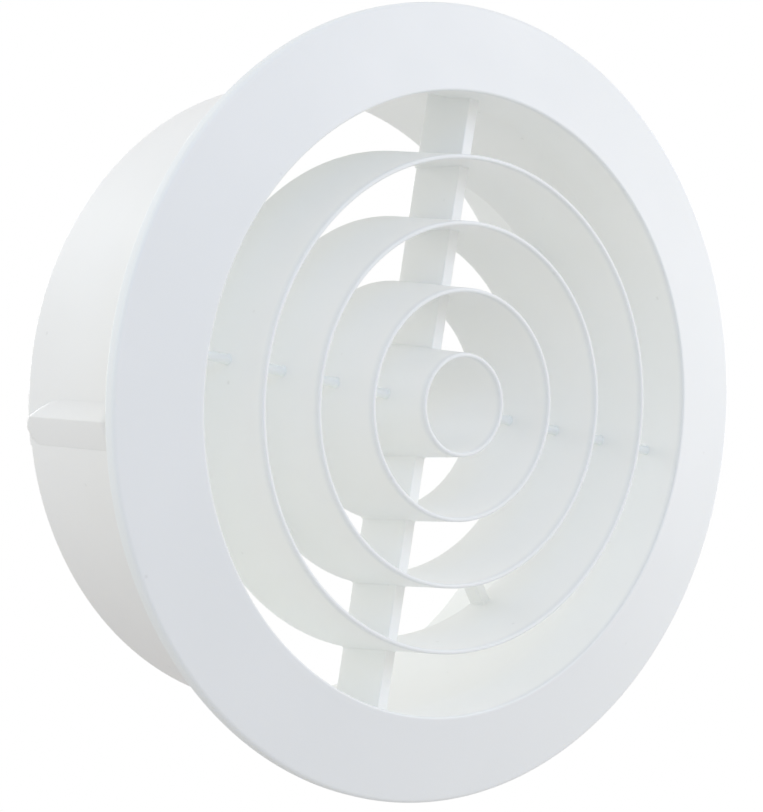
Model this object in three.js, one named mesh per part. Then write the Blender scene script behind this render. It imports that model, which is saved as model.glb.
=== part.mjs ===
// Round air diffuser for a 125 mm duct: a dished face flange with a short sleeve, a duct collar
// behind it, and a core of four concentric air rings carried by webs, spokes and ties.
// Millimetres. The duct axis is Y: the face looks along -Y, the duct is on the +Y side, +Z is up.
// The origin is on the axis, in the plane of the flange's back face, which lies on the ceiling.

import * as THREE from 'three';

// ---- driving dimensions ----------------------------------------------------------------

const FACETS = 96;        // sides of every round wall
const GAP = 0.3;          // clearance between neighbouring pieces

const FLANGE = {
  outer: 75,              // a 150 mm face
  opening: 58.35,         // radius of the mouth
  rim: 2.5,               // thickness of the outer edge
  dish: 3.65,             // the mouth stands this far proud of the outer edge
  skin: 2,                // thickness of the dished face
  seat: 2.4,              // width of the flat edge that meets the ceiling
  sleeveEnd: 10.1,        // the sleeve's end behind the ceiling plane
  sleeveDraft: 0.85,      // the sleeve widens by this much on its way back
  edgeRound: 0.9,
};

const COLLAR = {
  outer: 62.35,           // fits a 125 mm duct
  inner: 60.5,
  end: 45.9,              // depth behind the ceiling plane
  chamfer: 0.6,
};

// Each air ring: radius of its front lip, and inner and outer radius of its thick back edge.
const RINGS = {
  centre: { lip: 9.35, backInner: 8.7, backOuter: 11 },
  second: { lip: 21.45, backInner: 20.8, backOuter: 23.2 },
  third: { lip: 33.9, backInner: 33.3, backOuter: 35.6 },
  outer: { lip: 46.2, backInner: 45.7, backOuter: 48.1 },
};
const LIP_HALF = 0.4;     // half the thickness of a ring's front lip
const RING_FRONT = -6.9;
const RING_BACK = 15.6;
const RING_CHAMFER = 0.3;

const WEB = { thickness: 2.4, front: 3.6, back: 16.7 };
const SPOKE = { radius: 0.9, depth: 3.8, sides: 12 };
const TIE = { thickness: 2, front: 11.4, back: RING_BACK };
const TIE_ANGLES = { upper_right: 50.3, lower_left: 231, lower_right: 309.2 };
const KEY = { angle: 194.4, base: 8, crest: 3.2, height: 0.9, front: 18.4 };

// ---- materials ---------------------------------------------------------------------------

const plastic = (color, roughness) =>
  new THREE.MeshStandardMaterial({ color, roughness, metalness: 0 });

const facePlastic = plastic(0xeef1f2, 0.38);
const collarPlastic = plastic(0xeceae6, 0.45);
const ringPlastic = plastic(0xe9edea, 0.4);
const webPlastic = plastic(0xe4e9e7, 0.45);

// ---- building tools ----------------------------------------------------------------------

const diffuser = new THREE.Group();

function addPiece(name, geometry, material, parent = diffuser) {
  const piece = new THREE.Mesh(geometry, material);
  piece.name = name;
  parent.add(piece);
  return piece;
}

// Replaces each corner [r, y, size, steps] of a closed outline by a curve that starts and ends
// `size` away from the corner. One step is a chamfer, and a corner without a size stays sharp.
function easeCorners(corners) {
  const points = corners.map(([r, y]) => new THREE.Vector2(r, y));
  return points.flatMap((corner, i) => {
    const [, , size = 0, steps = 1] = corners[i];
    if (size === 0) return [corner];
    const towards = (other) =>
      corner.clone().add(other.clone().sub(corner).setLength(size));
    const start = towards(points[(i + points.length - 1) % points.length]);
    const end = towards(points[(i + 1) % points.length]);
    return new THREE.QuadraticBezierCurve(start, corner, end).getPoints(steps);
  });
}

// Turns a closed outline in the (radius, y) half-plane about the duct axis. The outline runs
// backwards along its outer wall and forwards along its inner wall.
function turned(corners) {
  const outline = easeCorners(corners);
  return new THREE.LatheGeometry([...outline, outline[0]], FACETS);
}

// A group turned about the duct axis, so that its +X points along the given clock angle,
// measured in degrees from +X towards +Z.
function arm(degrees) {
  const group = new THREE.Group();
  group.rotation.y = -THREE.MathUtils.degToRad(degrees);
  diffuser.add(group);
  return group;
}

// ---- radii of the round walls at a given depth ---------------------------------------------

const between = (front, back, y, yFront, yBack) =>
  THREE.MathUtils.mapLinear(y, yFront, yBack, front, back);

const ringOuter = (ring, y) =>
  between(ring.lip + LIP_HALF, ring.backOuter, y, RING_FRONT, RING_BACK);

const ringInner = (ring, y) =>
  between(ring.lip - LIP_HALF, ring.backInner, y, RING_FRONT, RING_BACK);

const mouthDepth = -(FLANGE.rim + FLANGE.dish);

const sleeveInner = (y) =>
  between(FLANGE.opening, FLANGE.opening + FLANGE.sleeveDraft, y, mouthDepth, FLANGE.sleeveEnd);

const faceDepth = (r) =>
  between(-FLANGE.rim, mouthDepth, r, FLANGE.outer, FLANGE.opening);

// ---- face flange and duct collar -----------------------------------------------------------

function faceFlange() {
  const sleeveOuter = COLLAR.inner - GAP;
  const seatInner = FLANGE.outer - FLANGE.seat;
  return turned([
    [FLANGE.outer, -FLANGE.rim, FLANGE.edgeRound, 3],
    [FLANGE.outer, 0, GAP],
    [seatInner, 0],
    [seatInner, faceDepth(seatInner) + FLANGE.skin],
    [sleeveOuter, faceDepth(sleeveOuter) + FLANGE.skin],
    [sleeveOuter, FLANGE.sleeveEnd],
    [sleeveInner(FLANGE.sleeveEnd), FLANGE.sleeveEnd],
    [FLANGE.opening, mouthDepth, FLANGE.edgeRound, 3],
  ]);
}

function ductCollar() {
  const front = faceDepth(COLLAR.outer) + FLANGE.skin + GAP;
  return turned([
    [COLLAR.outer, front],
    [COLLAR.outer, COLLAR.end, COLLAR.chamfer],
    [COLLAR.inner, COLLAR.end, GAP],
    [COLLAR.inner, front],
  ]);
}

// A low ridge along the collar's outside that keeps the diffuser from turning in the duct.
function keyRib() {
  const base = COLLAR.outer + GAP;
  const crest = COLLAR.outer + KEY.height;
  const section = new THREE.Shape([
    new THREE.Vector2(base, -KEY.base / 2),
    new THREE.Vector2(crest, -KEY.crest / 2),
    new THREE.Vector2(crest, KEY.crest / 2),
    new THREE.Vector2(base, KEY.base / 2),
  ]);
  const geometry = new THREE.ExtrudeGeometry(section, {
    depth: COLLAR.end - KEY.front,
    bevelEnabled: false,
  });
  return geometry.rotateX(-Math.PI / 2).translate(0, KEY.front, 0);
}

addPiece('face_flange', faceFlange(), facePlastic);
addPiece('duct_collar', ductCollar(), collarPlastic);
addPiece('collar_key_rib', keyRib(), collarPlastic, arm(KEY.angle));

// ---- concentric air rings --------------------------------------------------------------------

function airRing(ring) {
  return turned([
    [ring.lip + LIP_HALF, RING_FRONT, RING_CHAMFER],
    [ring.backOuter, RING_BACK, RING_CHAMFER],
    [ring.backInner, RING_BACK, RING_CHAMFER],
    [ring.lip - LIP_HALF, RING_FRONT, RING_CHAMFER],
  ]);
}

for (const [name, ring] of Object.entries(RINGS)) {
  addPiece(`air_ring_${name}`, airRing(ring), ringPlastic);
}

// ---- webs, spokes and ties that bridge the gaps ------------------------------------------------

// Each gap runs from the outside of one ring to the inside of the next ring or of the sleeve.
const GAPS = [
  { name: 'centre', from: RINGS.centre, to: (y) => ringInner(RINGS.second, y) },
  { name: 'second', from: RINGS.second, to: (y) => ringInner(RINGS.third, y) },
  { name: 'third', from: RINGS.third, to: (y) => ringInner(RINGS.outer, y) },
  { name: 'outer', from: RINGS.outer, to: sleeveInner },
];

// A flat-sided bridge across a gap, drawn in the (x, y) plane of its arm. Its ends keep clear of
// the curved walls over its whole thickness.
function plate(gap, { thickness, front, back }) {
  const half = thickness / 2;
  const chord = (r) => Math.sqrt(r * r - half * half);
  const near = (y) => ringOuter(gap.from, y) + GAP;
  const far = (y) => chord(gap.to(y) - GAP);
  const outline = new THREE.Shape([
    new THREE.Vector2(near(front), front),
    new THREE.Vector2(far(front), front),
    new THREE.Vector2(far(back), back),
    new THREE.Vector2(near(back), back),
  ]);
  const geometry = new THREE.ExtrudeGeometry(outline, { depth: thickness, bevelEnabled: false });
  return geometry.translate(0, 0, -half);
}

// A round bar along the +X of its arm.
function bar(gap, { radius, depth, sides }) {
  const near = ringOuter(gap.from, depth) + GAP;
  const far = gap.to(depth) - GAP;
  const geometry = new THREE.CylinderGeometry(radius, radius, far - near, sides);
  return geometry.rotateZ(-Math.PI / 2).translate((near + far) / 2, depth, 0);
}

for (const [side, degrees] of [['upper', 90], ['lower', 270]]) {
  const group = arm(degrees);
  for (const gap of GAPS) {
    addPiece(`web_${side}_${gap.name}`, plate(gap, WEB), webPlastic, group);
  }
}

for (const [side, degrees] of [['right', 0], ['left', 180]]) {
  const group = arm(degrees);
  for (const gap of GAPS) {
    addPiece(`spoke_${side}_${gap.name}`, bar(gap, SPOKE), webPlastic, group);
  }
}

const tiedGap = GAPS.find((gap) => gap.name === 'third');
for (const [place, degrees] of Object.entries(TIE_ANGLES)) {
  addPiece(`ring_tie_${place}`, plate(tiedGap, TIE), webPlastic, arm(degrees));
}

export default diffuser;
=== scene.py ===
"""Round white air diffuser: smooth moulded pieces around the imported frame, soft studio light.

Metres. The duct axis is Y, the face looks along -Y, +Z is up. Depths and radii come from the
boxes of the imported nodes; the small sizes that only the eye needs are named in millimetres.
"""

import functools
import math

import bmesh
import bpy
from mathutils import Matrix, Vector


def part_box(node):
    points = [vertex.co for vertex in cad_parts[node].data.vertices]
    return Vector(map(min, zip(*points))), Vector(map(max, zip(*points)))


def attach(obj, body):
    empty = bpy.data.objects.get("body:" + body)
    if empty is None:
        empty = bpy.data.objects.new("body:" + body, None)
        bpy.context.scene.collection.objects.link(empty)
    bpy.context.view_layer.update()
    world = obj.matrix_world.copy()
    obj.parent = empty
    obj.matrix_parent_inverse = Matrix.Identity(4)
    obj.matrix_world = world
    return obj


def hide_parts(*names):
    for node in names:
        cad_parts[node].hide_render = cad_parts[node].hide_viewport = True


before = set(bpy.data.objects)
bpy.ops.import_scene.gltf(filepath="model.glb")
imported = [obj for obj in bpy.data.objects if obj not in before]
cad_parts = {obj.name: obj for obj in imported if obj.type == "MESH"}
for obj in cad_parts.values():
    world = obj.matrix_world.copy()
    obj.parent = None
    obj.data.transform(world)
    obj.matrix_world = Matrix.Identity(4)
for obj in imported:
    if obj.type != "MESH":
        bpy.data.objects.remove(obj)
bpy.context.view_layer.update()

MM = 0.001
SEGMENTS = 240          # sides of a turned piece
ARC_STEPS = 6           # steps of a rounded corner
SUPPORT = 0.25 * MM     # a loop this close to each corner keeps the flats flat
RAMP_STEPS = 8          # stations along the fillet of a strut
SINK = 0.45 * MM        # how far a strut runs into the wall that it meets

GAP_NAMES = ("centre", "second", "third", "outer")
ARMS = {"right": 0, "upper": 90, "left": 180, "lower": 270}


# ---- sizes read from the frame --------------------------------------------------------------

@functools.cache
def box(node):
    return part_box(node)


def outer_radius(node):
    return box(node)[1].x


def front(node):
    return box(node)[0].y


def back(node):
    return box(node)[1].y


FLANGE_OUTER = outer_radius("face_flange")
MOUTH_RADIUS = 58.35 * MM
MOUTH_DEPTH = -6.15 * MM
EDGE_DEPTH = -2.5 * MM
FACE_SKIN = 2.0 * MM
SEAT_WIDTH = 2.4 * MM
SLEEVE_END = back("face_flange")
SLEEVE_END_RADIUS = 59.2 * MM
COLLAR_OUTER = outer_radius("duct_collar")
COLLAR_INNER = 60.5 * MM
COLLAR_END = back("duct_collar")
RING_FRONT = front("air_ring_outer")
RING_BACK = back("air_ring_outer")
LIP_HALF = 0.4 * MM
BACK_THICKNESS = 2.35 * MM
LIP_RADIUS = {"centre": 9.35 * MM, "second": 21.45 * MM, "third": 33.9 * MM, "outer": 46.2 * MM}


def between(a, b, y, y_a, y_b):
    return a + (b - a) * (y - y_a) / (y_b - y_a)


def ring_outer(name, y):
    node = f"air_ring_{name}"
    return between(LIP_RADIUS[name] + LIP_HALF, outer_radius(node), y, RING_FRONT, RING_BACK)


def ring_inner(name, y):
    node = f"air_ring_{name}"
    back_inner = outer_radius(node) - BACK_THICKNESS
    return between(LIP_RADIUS[name] - LIP_HALF, back_inner, y, RING_FRONT, RING_BACK)


def sleeve_inner(y):
    return between(MOUTH_RADIUS, SLEEVE_END_RADIUS, y, MOUTH_DEPTH, SLEEVE_END)


def throat_inner(y):
    return sleeve_inner(y) if y < SLEEVE_END else COLLAR_INNER


def face_depth(r):
    return between(EDGE_DEPTH, MOUTH_DEPTH, r, FLANGE_OUTER, MOUTH_RADIUS)


# ---- mesh tools -----------------------------------------------------------------------------

def mesh_object(name, points, faces):
    mesh = bpy.data.meshes.new(name)
    bm = bmesh.new()
    verts = [bm.verts.new(p) for p in points]
    for face in faces:
        bm.faces.new([verts[i] for i in face])
    bmesh.ops.recalc_face_normals(bm, faces=bm.faces)
    for face in bm.faces:
        face.smooth = True
    bm.to_mesh(mesh)
    bm.free()
    piece = bpy.data.objects.new(name, mesh)
    bpy.context.collection.objects.link(piece)
    flat_shading = piece.modifiers.new("weighted_normals", "WEIGHTED_NORMAL")
    flat_shading.weight = 100
    return piece


def rounded(corners):
    """Replaces each corner (u, v, radius) of a closed outline by a true arc."""
    points = []
    for i, (u, v, radius) in enumerate(corners):
        corner = Vector((u, v))
        if radius == 0:
            points.append(corner)
            continue
        before = (Vector(corners[i - 1][:2]) - corner).normalized()
        after = (Vector(corners[(i + 1) % len(corners)][:2]) - corner).normalized()
        half = before.angle(after) / 2
        reach = radius / math.tan(half)
        centre = corner + (before + after).normalized() * radius / math.sin(half)
        start = corner + before * reach - centre
        end = corner + after * reach - centre
        turn = start.angle_signed(end)
        for step in range(ARC_STEPS + 1):
            angle = turn * step / ARC_STEPS
            points.append(centre + Matrix.Rotation(-angle, 2) @ start)
    return points


def supported(outline):
    """Adds a point next to both ends of every long straight stretch."""
    points = []
    for i, a in enumerate(outline):
        b = outline[(i + 1) % len(outline)]
        points.append(a)
        length = (b - a).length
        if length > 4 * SUPPORT:
            step = (b - a) / length
            points += [a + step * SUPPORT, a + step * length / 2, b - step * SUPPORT]
    return points


def turned(name, corners):
    """Turns a closed outline of (radius, depth, rounding) about the duct axis."""
    outline = supported(rounded(corners))
    count = len(outline)
    points = []
    for s in range(SEGMENTS):
        angle = 2 * math.pi * s / SEGMENTS
        points += [(p.x * math.cos(angle), p.y, p.x * math.sin(angle)) for p in outline]
    faces = []
    for s in range(SEGMENTS):
        here, there = s * count, (s + 1) % SEGMENTS * count
        for i in range(count):
            j = (i + 1) % count
            faces.append((here + i, here + j, there + j, there + i))
    return mesh_object(name, points, faces)


def flare(distance, fillet):
    """How much a strut has swollen at this distance from the wall that it runs into."""
    if distance >= fillet:
        return 0.0
    reach = fillet - max(distance, 0.0)
    return fillet - math.sqrt(fillet * fillet - reach * reach)


def strut(name, section, near, far, fillet, degrees):
    """A plate or bar between two round walls, with a fillet at both ends.

    section is a closed outline of (across, depth) points; near and far give the walls' radii
    at a depth; degrees is the clock angle from +X towards +Z.
    """
    centre = sum(section, Vector((0, 0))) / len(section)
    outward = []
    for i, point in enumerate(section):
        tangent = section[(i + 1) % len(section)] - section[i - 1]
        normal = Vector((tangent.y, -tangent.x)).normalized()
        outward.append(normal if normal.dot(point - centre) > 0 else -normal)
    length = far(centre.y) - near(centre.y)
    ramp = [fillet * (1 - math.cos(math.pi / 2 * k / RAMP_STEPS)) for k in range(RAMP_STEPS + 1)]
    stations = [-SINK] + ramp + [length / 2] + [length - d for d in reversed(ramp)]
    stations.append(length + SINK)
    turn = math.radians(degrees)
    points = []
    for station in stations:
        swell = flare(min(station, length - station), fillet)
        share = station / length
        for point, normal in zip(section, outward):
            across, depth = point + normal * swell
            start = math.sqrt(near(depth) ** 2 - across ** 2)
            end = math.sqrt(far(depth) ** 2 - across ** 2)
            along = start + (end - start) * share
            points.append((
                along * math.cos(turn) - across * math.sin(turn),
                depth,
                along * math.sin(turn) + across * math.cos(turn),
            ))
    count = len(section)
    faces = [tuple(range(count)), tuple(range(len(points) - count, len(points)))]
    for s in range(len(stations) - 1):
        for i in range(count):
            j = (i + 1) % count
            faces.append((s * count + i, s * count + j, (s + 1) * count + j, (s + 1) * count + i))
    return mesh_object(name, points, faces)


# ---- materials ------------------------------------------------------------------------------

# Light and dark tone of each plastic's clouding. Inner walls and webs get lighter tones: painted
# light.
INNER_LIT_TONES = ((0.93, 0.943, 0.932), (0.918, 0.933, 0.92))
FACE_TONES = ((0.84, 0.866, 0.873), (0.827, 0.854, 0.861))
COLLAR_TONES = ((0.865, 0.867, 0.86), (0.851, 0.853, 0.845))
# Painted shade: the key rib is darker than the collar, deepening the shade on its downward face.
KEY_SHADE_TONES = ((0.85, 0.852, 0.845), (0.835, 0.837, 0.83))
# Painted light: the spokes are lighter than the walls, standing in for light on their tops, and
# tinted teal.
SPOKE_LIT_TONES = ((0.93, 0.965, 0.955), (0.92, 0.955, 0.945))

SPECK_COLOUR = (0.42, 0.42, 0.4)
SPECK_STRENGTH = 0.16
CLOUD_SCALE, SPECK_SCALE, GLOSS_SCALE = 38, 105, 90     # features per metre
CLOUD_RANGE, GLOSS_RANGE = (0.35, 0.65), (0.3, 0.7)     # noise where each change begins and ends
SPECK_RANGE = (0.02, 0.05)                              # a speck's core and edge, in cells
GRAIN_SCALE, WAVE_SCALE = 3200, 70
GRAIN_HEIGHT, WAVE_HEIGHT = 0.02 * MM, 0.25 * MM
WAVE_STRENGTH = 0.12
GLOSSIEST, DULLEST = 0.36, 0.46                         # roughness
GLOW_WEIGHT, GLOW_REACH = 0.12, 0.8 * MM                # light that scatters under the surface
GLOW_TINT = (1.0, 0.95, 0.85)
PLASTIC_IOR = 1.5
PAINTED_LIGHT_EDGE, PAINTED_LIGHT_RAMP = 0.05 * MM, 1.2 * MM            # how gradually the painted light of the inner tones begins
LIP_DEPTH = 0.4 * MM                                    # front lips keep the face's tones
SLEEVE_MARGIN, COLLAR_MARGIN = 0.1 * MM, 0.9 * MM       # these end inside the wall's thickness


def moulded_plastic(name, tones, grain, painted_light_radius=0, painted_light_depth=-1):
    """White injection-moulded plastic: faint clouding, fine spark-eroded grain, a few specks.

    Inside the given radius and behind the given depth it takes the lighter inner tones, painted
    light that stands in for the light the inner walls catch.
    """
    material = bpy.data.materials.new(name)
    material.use_nodes = True
    nodes, links = material.node_tree.nodes, material.node_tree.links
    shader = nodes["Principled BSDF"]
    place = nodes.new("ShaderNodeTexCoord").outputs["Object"]

    def noise(scale, detail):
        node = nodes.new("ShaderNodeTexNoise")
        node.inputs["Scale"].default_value = scale
        node.inputs["Detail"].default_value = detail
        links.new(place, node.inputs["Vector"])
        return node.outputs["Fac"]

    def remap(value, low, high, to_low, to_high):
        node = nodes.new("ShaderNodeMapRange")
        node.inputs["From Min"].default_value = low
        node.inputs["From Max"].default_value = high
        node.inputs["To Min"].default_value = to_low
        node.inputs["To Max"].default_value = to_high
        links.new(value, node.inputs["Value"])
        return node.outputs["Result"]

    def mix(factor, a, b):
        node = nodes.new("ShaderNodeMix")
        node.data_type = "RGBA"
        links.new(factor, node.inputs["Factor"])
        for socket, value in ((node.inputs["A"], a), (node.inputs["B"], b)):
            if isinstance(value, tuple):
                socket.default_value = (*value, 1)
            else:
                links.new(value, socket)
        return node.outputs["Result"]

    cloud = remap(noise(CLOUD_SCALE, 3), *CLOUD_RANGE, 0, 1)
    body = mix(cloud, *tones)
    # Painted light: this masks the inner walls, which take the lighter inner tones.
    if painted_light_radius:
        flat = nodes.new("ShaderNodeVectorMath")
        flat.operation = "MULTIPLY"
        flat.inputs[1].default_value = (1, 0, 1)
        links.new(place, flat.inputs[0])
        radius = nodes.new("ShaderNodeVectorMath")
        radius.operation = "LENGTH"
        links.new(flat.outputs["Vector"], radius.inputs[0])
        within, beyond = painted_light_radius - PAINTED_LIGHT_EDGE, painted_light_radius + PAINTED_LIGHT_EDGE
        inside = remap(radius.outputs["Value"], within, beyond, 1, 0)
        axes = nodes.new("ShaderNodeSeparateXYZ")
        links.new(place, axes.inputs[0])
        behind = remap(axes.outputs["Y"], painted_light_depth, painted_light_depth + PAINTED_LIGHT_RAMP, 0, 1)
        both = nodes.new("ShaderNodeMath")
        both.operation = "MULTIPLY"
        links.new(inside, both.inputs[0])
        links.new(behind, both.inputs[1])
        body = mix(both.outputs["Value"], body, mix(cloud, *INNER_LIT_TONES))
    speck = nodes.new("ShaderNodeTexVoronoi")
    speck.inputs["Scale"].default_value = SPECK_SCALE
    links.new(place, speck.inputs["Vector"])
    dots = remap(speck.outputs["Distance"], *SPECK_RANGE, SPECK_STRENGTH, 0)
    links.new(mix(dots, body, SPECK_COLOUR), shader.inputs["Base Color"])

    gloss = remap(noise(GLOSS_SCALE, 4), *GLOSS_RANGE, GLOSSIEST, DULLEST)
    links.new(gloss, shader.inputs["Roughness"])
    fine = nodes.new("ShaderNodeBump")
    fine.inputs["Strength"].default_value = grain
    fine.inputs["Distance"].default_value = GRAIN_HEIGHT
    links.new(noise(GRAIN_SCALE, 2), fine.inputs["Height"])
    wave = nodes.new("ShaderNodeBump")
    wave.inputs["Strength"].default_value = WAVE_STRENGTH
    wave.inputs["Distance"].default_value = WAVE_HEIGHT
    links.new(noise(WAVE_SCALE, 1), wave.inputs["Height"])
    links.new(fine.outputs["Normal"], wave.inputs["Normal"])
    links.new(wave.outputs["Normal"], shader.inputs["Normal"])

    shader.inputs["Subsurface Weight"].default_value = GLOW_WEIGHT
    shader.inputs["Subsurface Radius"].default_value = GLOW_TINT
    shader.inputs["Subsurface Scale"].default_value = GLOW_REACH
    shader.inputs["IOR"].default_value = PLASTIC_IOR
    return material


FACE_WHITE = moulded_plastic(
    "face_plastic", FACE_TONES, grain=0.35,
    painted_light_radius=SLEEVE_END_RADIUS + SLEEVE_MARGIN, painted_light_depth=MOUTH_DEPTH + LIP_DEPTH)
COLLAR_WHITE = moulded_plastic(
    "collar_plastic", COLLAR_TONES, grain=0.25, painted_light_radius=COLLAR_INNER + COLLAR_MARGIN)
# The key rib's darker tones are painted shade.
KEY_SHADED_WHITE = moulded_plastic("key_painted_shade_plastic", KEY_SHADE_TONES, grain=0.25)
RING_WHITE = moulded_plastic(
    "ring_plastic", FACE_TONES, grain=0.3,
    painted_light_radius=FLANGE_OUTER, painted_light_depth=RING_FRONT + LIP_DEPTH)
WEB_WHITE = moulded_plastic("web_plastic", INNER_LIT_TONES, grain=0.3)
# The spokes' lighter tones are painted light.
SPOKE_LIT_WHITE = moulded_plastic("spoke_painted_light_plastic", SPOKE_LIT_TONES, grain=0.3)


def finish_piece(piece, node, material):
    piece.data.materials.append(material)
    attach(piece, "root")
    if node:
        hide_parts(node)


# ---- face flange and duct collar ------------------------------------------------------------

RIM_ROUND, SEAT_ROUND, HOLLOW_ROUND = 0.9 * MM, 0.3 * MM, 0.6 * MM
MOUTH_ROUND, SLEEVE_END_ROUND = 0.4 * MM, 0.25 * MM
COLLAR_END_ROUND = {"outside": 0.5 * MM, "inside": 0.4 * MM}
SLEEVE_PLAY = 0.05 * MM                  # between the sleeve and the collar around it
COLLAR_ROOT = 0.2 * MM                   # how far the collar runs into the face


def face_flange():
    sleeve_outer = COLLAR_INNER - SLEEVE_PLAY
    seat_inner = FLANGE_OUTER - SEAT_WIDTH
    return turned("flange_moulding", [
        (FLANGE_OUTER, EDGE_DEPTH, RIM_ROUND),
        (FLANGE_OUTER, 0, SEAT_ROUND),
        (seat_inner, 0, SEAT_ROUND),
        (seat_inner, face_depth(seat_inner) + FACE_SKIN, HOLLOW_ROUND),
        (sleeve_outer, face_depth(sleeve_outer) + FACE_SKIN, 0),
        (sleeve_outer, SLEEVE_END, 0),
        (SLEEVE_END_RADIUS, SLEEVE_END, SLEEVE_END_ROUND),
        (MOUTH_RADIUS, MOUTH_DEPTH, MOUTH_ROUND),
    ])


def duct_collar():
    root = face_depth(COLLAR_OUTER) + FACE_SKIN - COLLAR_ROOT
    return turned("collar_moulding", [
        (COLLAR_OUTER, root, 0),
        (COLLAR_OUTER, COLLAR_END, COLLAR_END_ROUND["outside"]),
        (COLLAR_INNER, COLLAR_END, COLLAR_END_ROUND["inside"]),
        (COLLAR_INNER, root, 0),
    ])


finish_piece(face_flange(), "face_flange", FACE_WHITE)
finish_piece(duct_collar(), "duct_collar", COLLAR_WHITE)


# ---- key rib and gate pip on the collar -----------------------------------------------------

KEY_RIDGE_CLOCK = 193.1                  # the rib's crisp upper edge
KEY_RISE, KEY_FALL = 4.0 * MM, 5.1 * MM  # width of the slope above that edge and of the face below
KEY_HOLLOW = 1.7                         # how hollow that slope is
KEY_FOOT_RUN = 0.35 * MM                 # width of the small foot below the face
KEY_CREASE = 0.12 * MM                   # the edge is this wide on each side
KEY_HEIGHT, KEY_FOOT = 1.0 * MM, 0.08 * MM
KEY_BORDER = -0.03 * MM                  # the rim of the rib lies this far inside the collar
KEY_FRONT = front("collar_key_rib")
KEY_FRONT_RAMP, KEY_REAR_RAMP = 1.0 * MM, 0.5 * MM
KEY_NOSE_CLOCK = 195.0                   # where the rounded rear end reaches furthest
KEY_NOSE_SETBACK = 0.15 * MM             # from there to the collar's end
KEY_NOSE_SWEEP = 1.5 * MM                # the rear end falls back by this much ...
KEY_NOSE_HALF = 2.3 * MM                 # ... at this distance from the nose
KEY_NOSE_POWER = 2.2
KEY_ROWS, KEY_COLUMNS, KEY_FOOT_COLUMNS = 72, 14, 5
PIP_CLOCK, PIP_DEPTH = 141.3, 25.3 * MM
PIP_RADIUS, PIP_HEIGHT = 0.8 * MM, 0.3 * MM
PIP_RINGS, PIP_SIDES = 6, 24


def on_collar(clock, depth, across, proud):
    turn = math.radians(clock) + across / COLLAR_OUTER
    radius = COLLAR_OUTER + proud
    return (radius * math.cos(turn), depth, radius * math.sin(turn))


def smooth_step(value):
    value = min(1.0, max(0.0, value))
    return value * value * (3 - 2 * value)


def key_section(across):
    """Height of the rib: a hollow slope up to the edge, then a flat face down to a small foot."""
    if across < 0:
        return KEY_HEIGHT * max(0.0, 1 + across / KEY_RISE) ** KEY_HOLLOW
    face = KEY_HEIGHT + (KEY_FOOT - KEY_HEIGHT) * min(1.0, across / KEY_FALL)
    return face * (1 - smooth_step((across - KEY_FALL) / KEY_FOOT_RUN))


def key_rib():
    """The long low ridge that stops the diffuser from turning in its duct."""
    nose = math.radians(KEY_NOSE_CLOCK - KEY_RIDGE_CLOCK) * COLLAR_OUTER
    across = [-KEY_RISE * (1 - i / KEY_COLUMNS) for i in range(KEY_COLUMNS)]
    across += [-KEY_CREASE, 0.0, KEY_CREASE]
    for i in range(1, KEY_COLUMNS + 1):
        across.append(KEY_CREASE + (KEY_FALL - KEY_CREASE) * i / KEY_COLUMNS)
    for i in range(1, KEY_FOOT_COLUMNS + 1):
        across.append(KEY_FALL + KEY_FOOT_RUN * i / KEY_FOOT_COLUMNS)
    points, faces = [], []
    for row in range(KEY_ROWS + 1):
        share = row / KEY_ROWS
        depth = KEY_FRONT + (COLLAR_END - KEY_FRONT) * share
        for place in across:
            sweep = KEY_NOSE_SWEEP * abs((place - nose) / KEY_NOSE_HALF) ** KEY_NOSE_POWER
            rear = COLLAR_END - KEY_NOSE_SETBACK - sweep
            lift = smooth_step((rear - depth) / KEY_REAR_RAMP + 0.5)
            lift *= smooth_step((depth - KEY_FRONT) / KEY_FRONT_RAMP)
            proud = KEY_BORDER + key_section(place) * lift
            points.append(on_collar(KEY_RIDGE_CLOCK, depth, place, proud))
    top = len(points)
    wide = len(across)
    for row in (0, KEY_ROWS):
        depth = KEY_FRONT + (COLLAR_END - KEY_FRONT) * row / KEY_ROWS
        points += [on_collar(KEY_RIDGE_CLOCK, depth, place, -SINK) for place in across]
    for row in range(KEY_ROWS):
        for column in range(wide - 1):
            a = row * wide + column
            faces.append((a, a + 1, a + wide + 1, a + wide))
    first, last, end = top, top + wide, KEY_ROWS * wide
    for column in range(wide - 1):
        faces.append((first + column, first + column + 1, column + 1, column))
        faces.append((end + column, end + column + 1, last + column + 1, last + column))
    above = [row * wide for row in range(KEY_ROWS + 1)]
    below = [row * wide + wide - 1 for row in range(KEY_ROWS + 1)]
    faces.append(tuple(above + [last, first]))
    faces.append(tuple(below + [last + wide - 1, first + wide - 1]))
    faces.append(tuple(range(first, last)) + tuple(range(last + wide - 1, last - 1, -1)))
    return mesh_object("key_rib_moulding", points, faces)


def gate_pip():
    """The small round mark where the collar was filled in its mould."""
    points, faces = [on_collar(PIP_CLOCK, PIP_DEPTH, 0, PIP_HEIGHT)], []
    for ring in range(1, PIP_RINGS + 1):
        lean = math.pi / 2 * ring / PIP_RINGS
        proud = PIP_HEIGHT * math.cos(lean) - (SINK if ring == PIP_RINGS else 0)
        for side in range(PIP_SIDES):
            angle = 2 * math.pi * side / PIP_SIDES
            reach = PIP_RADIUS * math.sin(lean)
            points.append(on_collar(
                PIP_CLOCK, PIP_DEPTH + reach * math.cos(angle), reach * math.sin(angle), proud))
    for side in range(PIP_SIDES):
        following = (side + 1) % PIP_SIDES
        faces.append((0, 1 + side, 1 + following))
        for ring in range(PIP_RINGS - 1):
            a, b = 1 + ring * PIP_SIDES, 1 + (ring + 1) * PIP_SIDES
            faces.append((a + side, b + side, b + following, a + following))
    faces.append(tuple(range(1 + (PIP_RINGS - 1) * PIP_SIDES, 1 + PIP_RINGS * PIP_SIDES)))
    return mesh_object("collar_gate_pip", points, faces)


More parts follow.
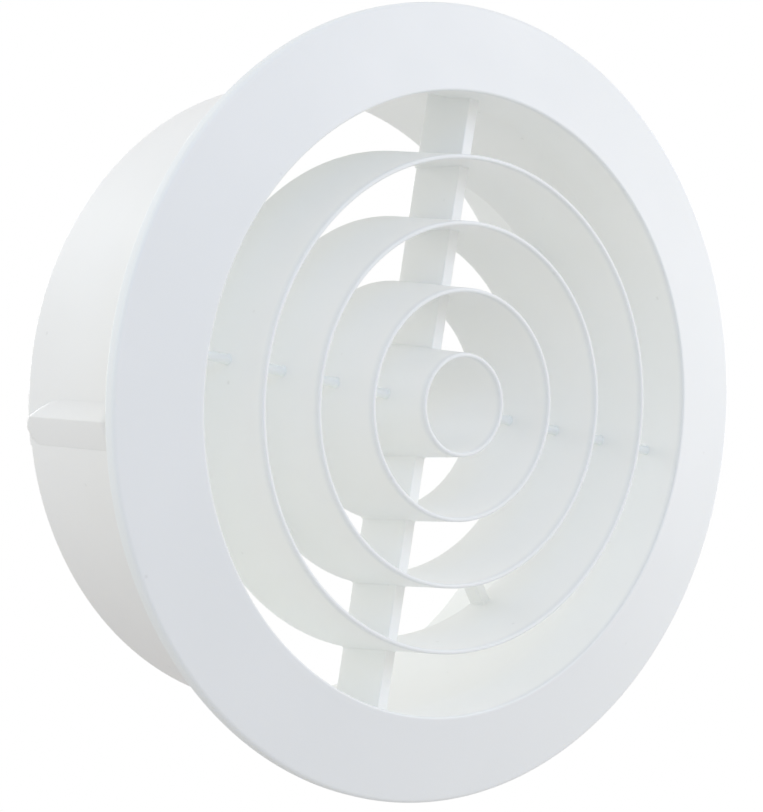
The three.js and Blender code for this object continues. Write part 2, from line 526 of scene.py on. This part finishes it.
finish_piece(key_rib(), "collar_key_rib", KEY_SHADED_WHITE)
finish_piece(gate_pip(), None, COLLAR_WHITE)


# ---- air rings ------------------------------------------------------------------------------

LIP_ROUND, RING_BACK_ROUND = 0.36 * MM, 0.45 * MM

for ring_name, lip_radius in LIP_RADIUS.items():
    node = f"air_ring_{ring_name}"
    piece = turned(f"ring_{ring_name}_moulding", [
        (lip_radius + LIP_HALF, RING_FRONT, LIP_ROUND),
        (outer_radius(node), RING_BACK, RING_BACK_ROUND),
        (outer_radius(node) - BACK_THICKNESS, RING_BACK, RING_BACK_ROUND),
        (lip_radius - LIP_HALF, RING_FRONT, LIP_ROUND),
    ])
    finish_piece(piece, node, RING_WHITE)


# ---- webs, spokes and ties -----------------------------------------------------------------

PLATE_EDGE = 0.25 * MM                   # rounding along a web or tie
WEB_FILLET, SPOKE_FILLET, TIE_FILLET = 0.35 * MM, 0.2 * MM, 0.3 * MM
SPOKE_SIDES = 24
TIE_HALF = 1.0 * MM
TIE_SETBACK = 0.05 * MM                  # keeps a tie's back inside the rings' backs


def gap_walls(name):
    """The walls on both sides of a gap: outside of one ring, inside of the next."""
    following = {"centre": "second", "second": "third", "third": "outer"}.get(name)

    def near(y):
        return ring_outer(name, min(y, RING_BACK))

    def far(y):
        return ring_inner(following, min(y, RING_BACK)) if following else throat_inner(y)

    return near, far


def plate_section(half, y_front, y_back):
    return rounded([
        (half, y_front, PLATE_EDGE),
        (half, y_back, PLATE_EDGE),
        (-half, y_back, PLATE_EDGE),
        (-half, y_front, PLATE_EDGE),
    ])


def round_section(radius, depth):
    angles = [2 * math.pi * i / SPOKE_SIDES for i in range(SPOKE_SIDES)]
    return [Vector((radius * math.cos(a), depth + radius * math.sin(a))) for a in angles]


def middle(node, axis):
    low, high = box(node)
    return (low[axis] + high[axis]) / 2


for gap in GAP_NAMES:
    near_wall, far_wall = gap_walls(gap)
    for side in ("upper", "lower"):
        node = f"web_{side}_{gap}"
        low, high = box(node)
        section = plate_section(high.x, low.y, high.y)
        name = f"web_{side}_{gap}_moulding"
        piece = strut(name, section, near_wall, far_wall, WEB_FILLET, ARMS[side])
        finish_piece(piece, node, WEB_WHITE)
    for side in ("right", "left"):
        node = f"spoke_{side}_{gap}"
        low, high = box(node)
        section = round_section(high.z, middle(node, 1))
        name = f"spoke_{side}_{gap}_moulding"
        piece = strut(name, section, near_wall, far_wall, SPOKE_FILLET, ARMS[side])
        finish_piece(piece, node, SPOKE_LIT_WHITE)

near_wall, far_wall = gap_walls("third")
for place in ("upper_right", "lower_left", "lower_right"):
    node = f"ring_tie_{place}"
    low, high = box(node)
    clock = math.degrees(math.atan2(middle(node, 2), middle(node, 0)))
    section = plate_section(TIE_HALF, low.y, high.y - TIE_SETBACK)
    piece = strut(f"{node}_moulding", section, near_wall, far_wall, TIE_FILLET, clock)
    finish_piece(piece, node, WEB_WHITE)


# ---- camera ---------------------------------------------------------------------------------

AZIMUTH, ELEVATION, ROLL = -38.66, -4.2, 8.69
AIM = Vector((-14.07, 0, -2.77)) * MM
DISTANCE = 0.4918
LENS, SENSOR_WIDTH = 117.8, 36           # the camera's own millimetres
NEAREST, FURTHEST = 0.01, 20             # what the camera can see at all


def studio_camera():
    data = bpy.data.cameras.new("camera")
    data.lens = LENS
    data.sensor_width = SENSOR_WIDTH
    data.clip_start, data.clip_end = NEAREST, FURTHEST
    camera = bpy.data.objects.new("camera", data)
    bpy.context.collection.objects.link(camera)
    turn, lift = math.radians(AZIMUTH), math.radians(ELEVATION)
    backwards = Vector((
        math.sin(turn) * math.cos(lift), -math.cos(turn) * math.cos(lift), math.sin(lift)))
    camera.location = AIM + backwards * DISTANCE
    level = (-backwards).to_track_quat("-Z", "Y").to_matrix()
    camera.rotation_euler = (level @ Matrix.Rotation(math.radians(ROLL), 3, "Z")).to_euler()
    bpy.context.scene.camera = camera


studio_camera()


# ---- floor and light -----------------------------------------------------------------------

FLOOR_DEPTH = -0.8      # below the cameras that look up at the diffuser
FLOOR_RADIUS = 1.7
FLOOR_SIDES = 96
PAPER_TONES = (0.62, 0.67)
PAPER_ROUGHNESS, PAPER_SCALE = 0.9, 60


def pale_floor():
    points = [(0, 0, FLOOR_DEPTH)]
    for i in range(FLOOR_SIDES):
        angle = 2 * math.pi * i / FLOOR_SIDES
        points.append((FLOOR_RADIUS * math.cos(angle), FLOOR_RADIUS * math.sin(angle), FLOOR_DEPTH))
    faces = [(0, 1 + i, 1 + (i + 1) % FLOOR_SIDES) for i in range(FLOOR_SIDES)]
    floor = mesh_object("studio_floor", points, faces)
    material = bpy.data.materials.new("floor_paper")
    material.use_nodes = True
    nodes, links = material.node_tree.nodes, material.node_tree.links
    shader = nodes["Principled BSDF"]
    shader.inputs["Roughness"].default_value = PAPER_ROUGHNESS
    paper = nodes.new("ShaderNodeTexNoise")
    paper.inputs["Scale"].default_value = PAPER_SCALE
    tone = nodes.new("ShaderNodeMapRange")
    tone.inputs["To Min"].default_value, tone.inputs["To Max"].default_value = PAPER_TONES
    links.new(paper.outputs["Fac"], tone.inputs["Value"])
    links.new(tone.outputs["Result"], shader.inputs["Base Color"])
    floor.data.materials.append(material)


BOX_DISTANCE = 0.9
WIDE_BOX, SMALL_BOX = 0.5, 0.3


def softbox(name, azimuth, elevation, size, watts, colour):
    """A square area light that looks at the origin from the given direction."""
    data = bpy.data.lights.new(name, "AREA")
    data.size = size
    data.energy = watts
    data.color = colour
    light = bpy.data.objects.new(name, data)
    bpy.context.collection.objects.link(light)
    turn, lift = math.radians(azimuth), math.radians(elevation)
    backwards = Vector((
        math.sin(turn) * math.cos(lift), -math.cos(turn) * math.cos(lift), math.sin(lift)))
    light.location = backwards * BOX_DISTANCE
    light.rotation_euler = (-backwards).to_track_quat("-Z", "Y").to_euler()
    light.visible_camera = False


def white_world(strength, colour):
    world = bpy.data.worlds.new("studio")
    bpy.context.scene.world = world
    world.use_nodes = True
    nodes, links = world.node_tree.nodes, world.node_tree.links
    room = nodes["Background"]
    room.inputs["Color"].default_value = (*colour, 1)
    room.inputs["Strength"].default_value = strength
    backdrop = nodes.new("ShaderNodeBackground")
    backdrop.inputs["Color"].default_value = (1, 1, 1, 1)
    backdrop.inputs["Strength"].default_value = 1.0
    path = nodes.new("ShaderNodeLightPath")
    choose = nodes.new("ShaderNodeMixShader")
    links.new(path.outputs["Is Camera Ray"], choose.inputs["Fac"])
    links.new(room.outputs["Background"], choose.inputs[1])
    links.new(backdrop.outputs["Background"], choose.inputs[2])
    links.new(choose.outputs["Shader"], nodes["World Output"].inputs["Surface"])


pale_floor()
white_world(0.812, (0.975, 0.958, 0.945))
softbox("key_right", 40, 25, WIDE_BOX, 1.7, (1.0, 0.98, 0.98))
softbox("camera_side", -30, 24, SMALL_BOX, 0.62, (0.05, 0.32, 1.0))
softbox("left_side", -100, 20, WIDE_BOX, 1.5, (0.84, 0.96, 0.98))
softbox("right_side", 95, 15, WIDE_BOX, 1.9, (1.0, 1.0, 1.0))
softbox("behind", 180, 10, WIDE_BOX, 2.6, (1.0, 1.0, 1.0))

bpy.context.scene.view_settings.view_transform = "Standard"
bpy.context.scene.view_settings.look = "None"
bpy.context.scene.cycles.max_bounces = 16
bpy.context.scene.cycles.diffuse_bounces = 10
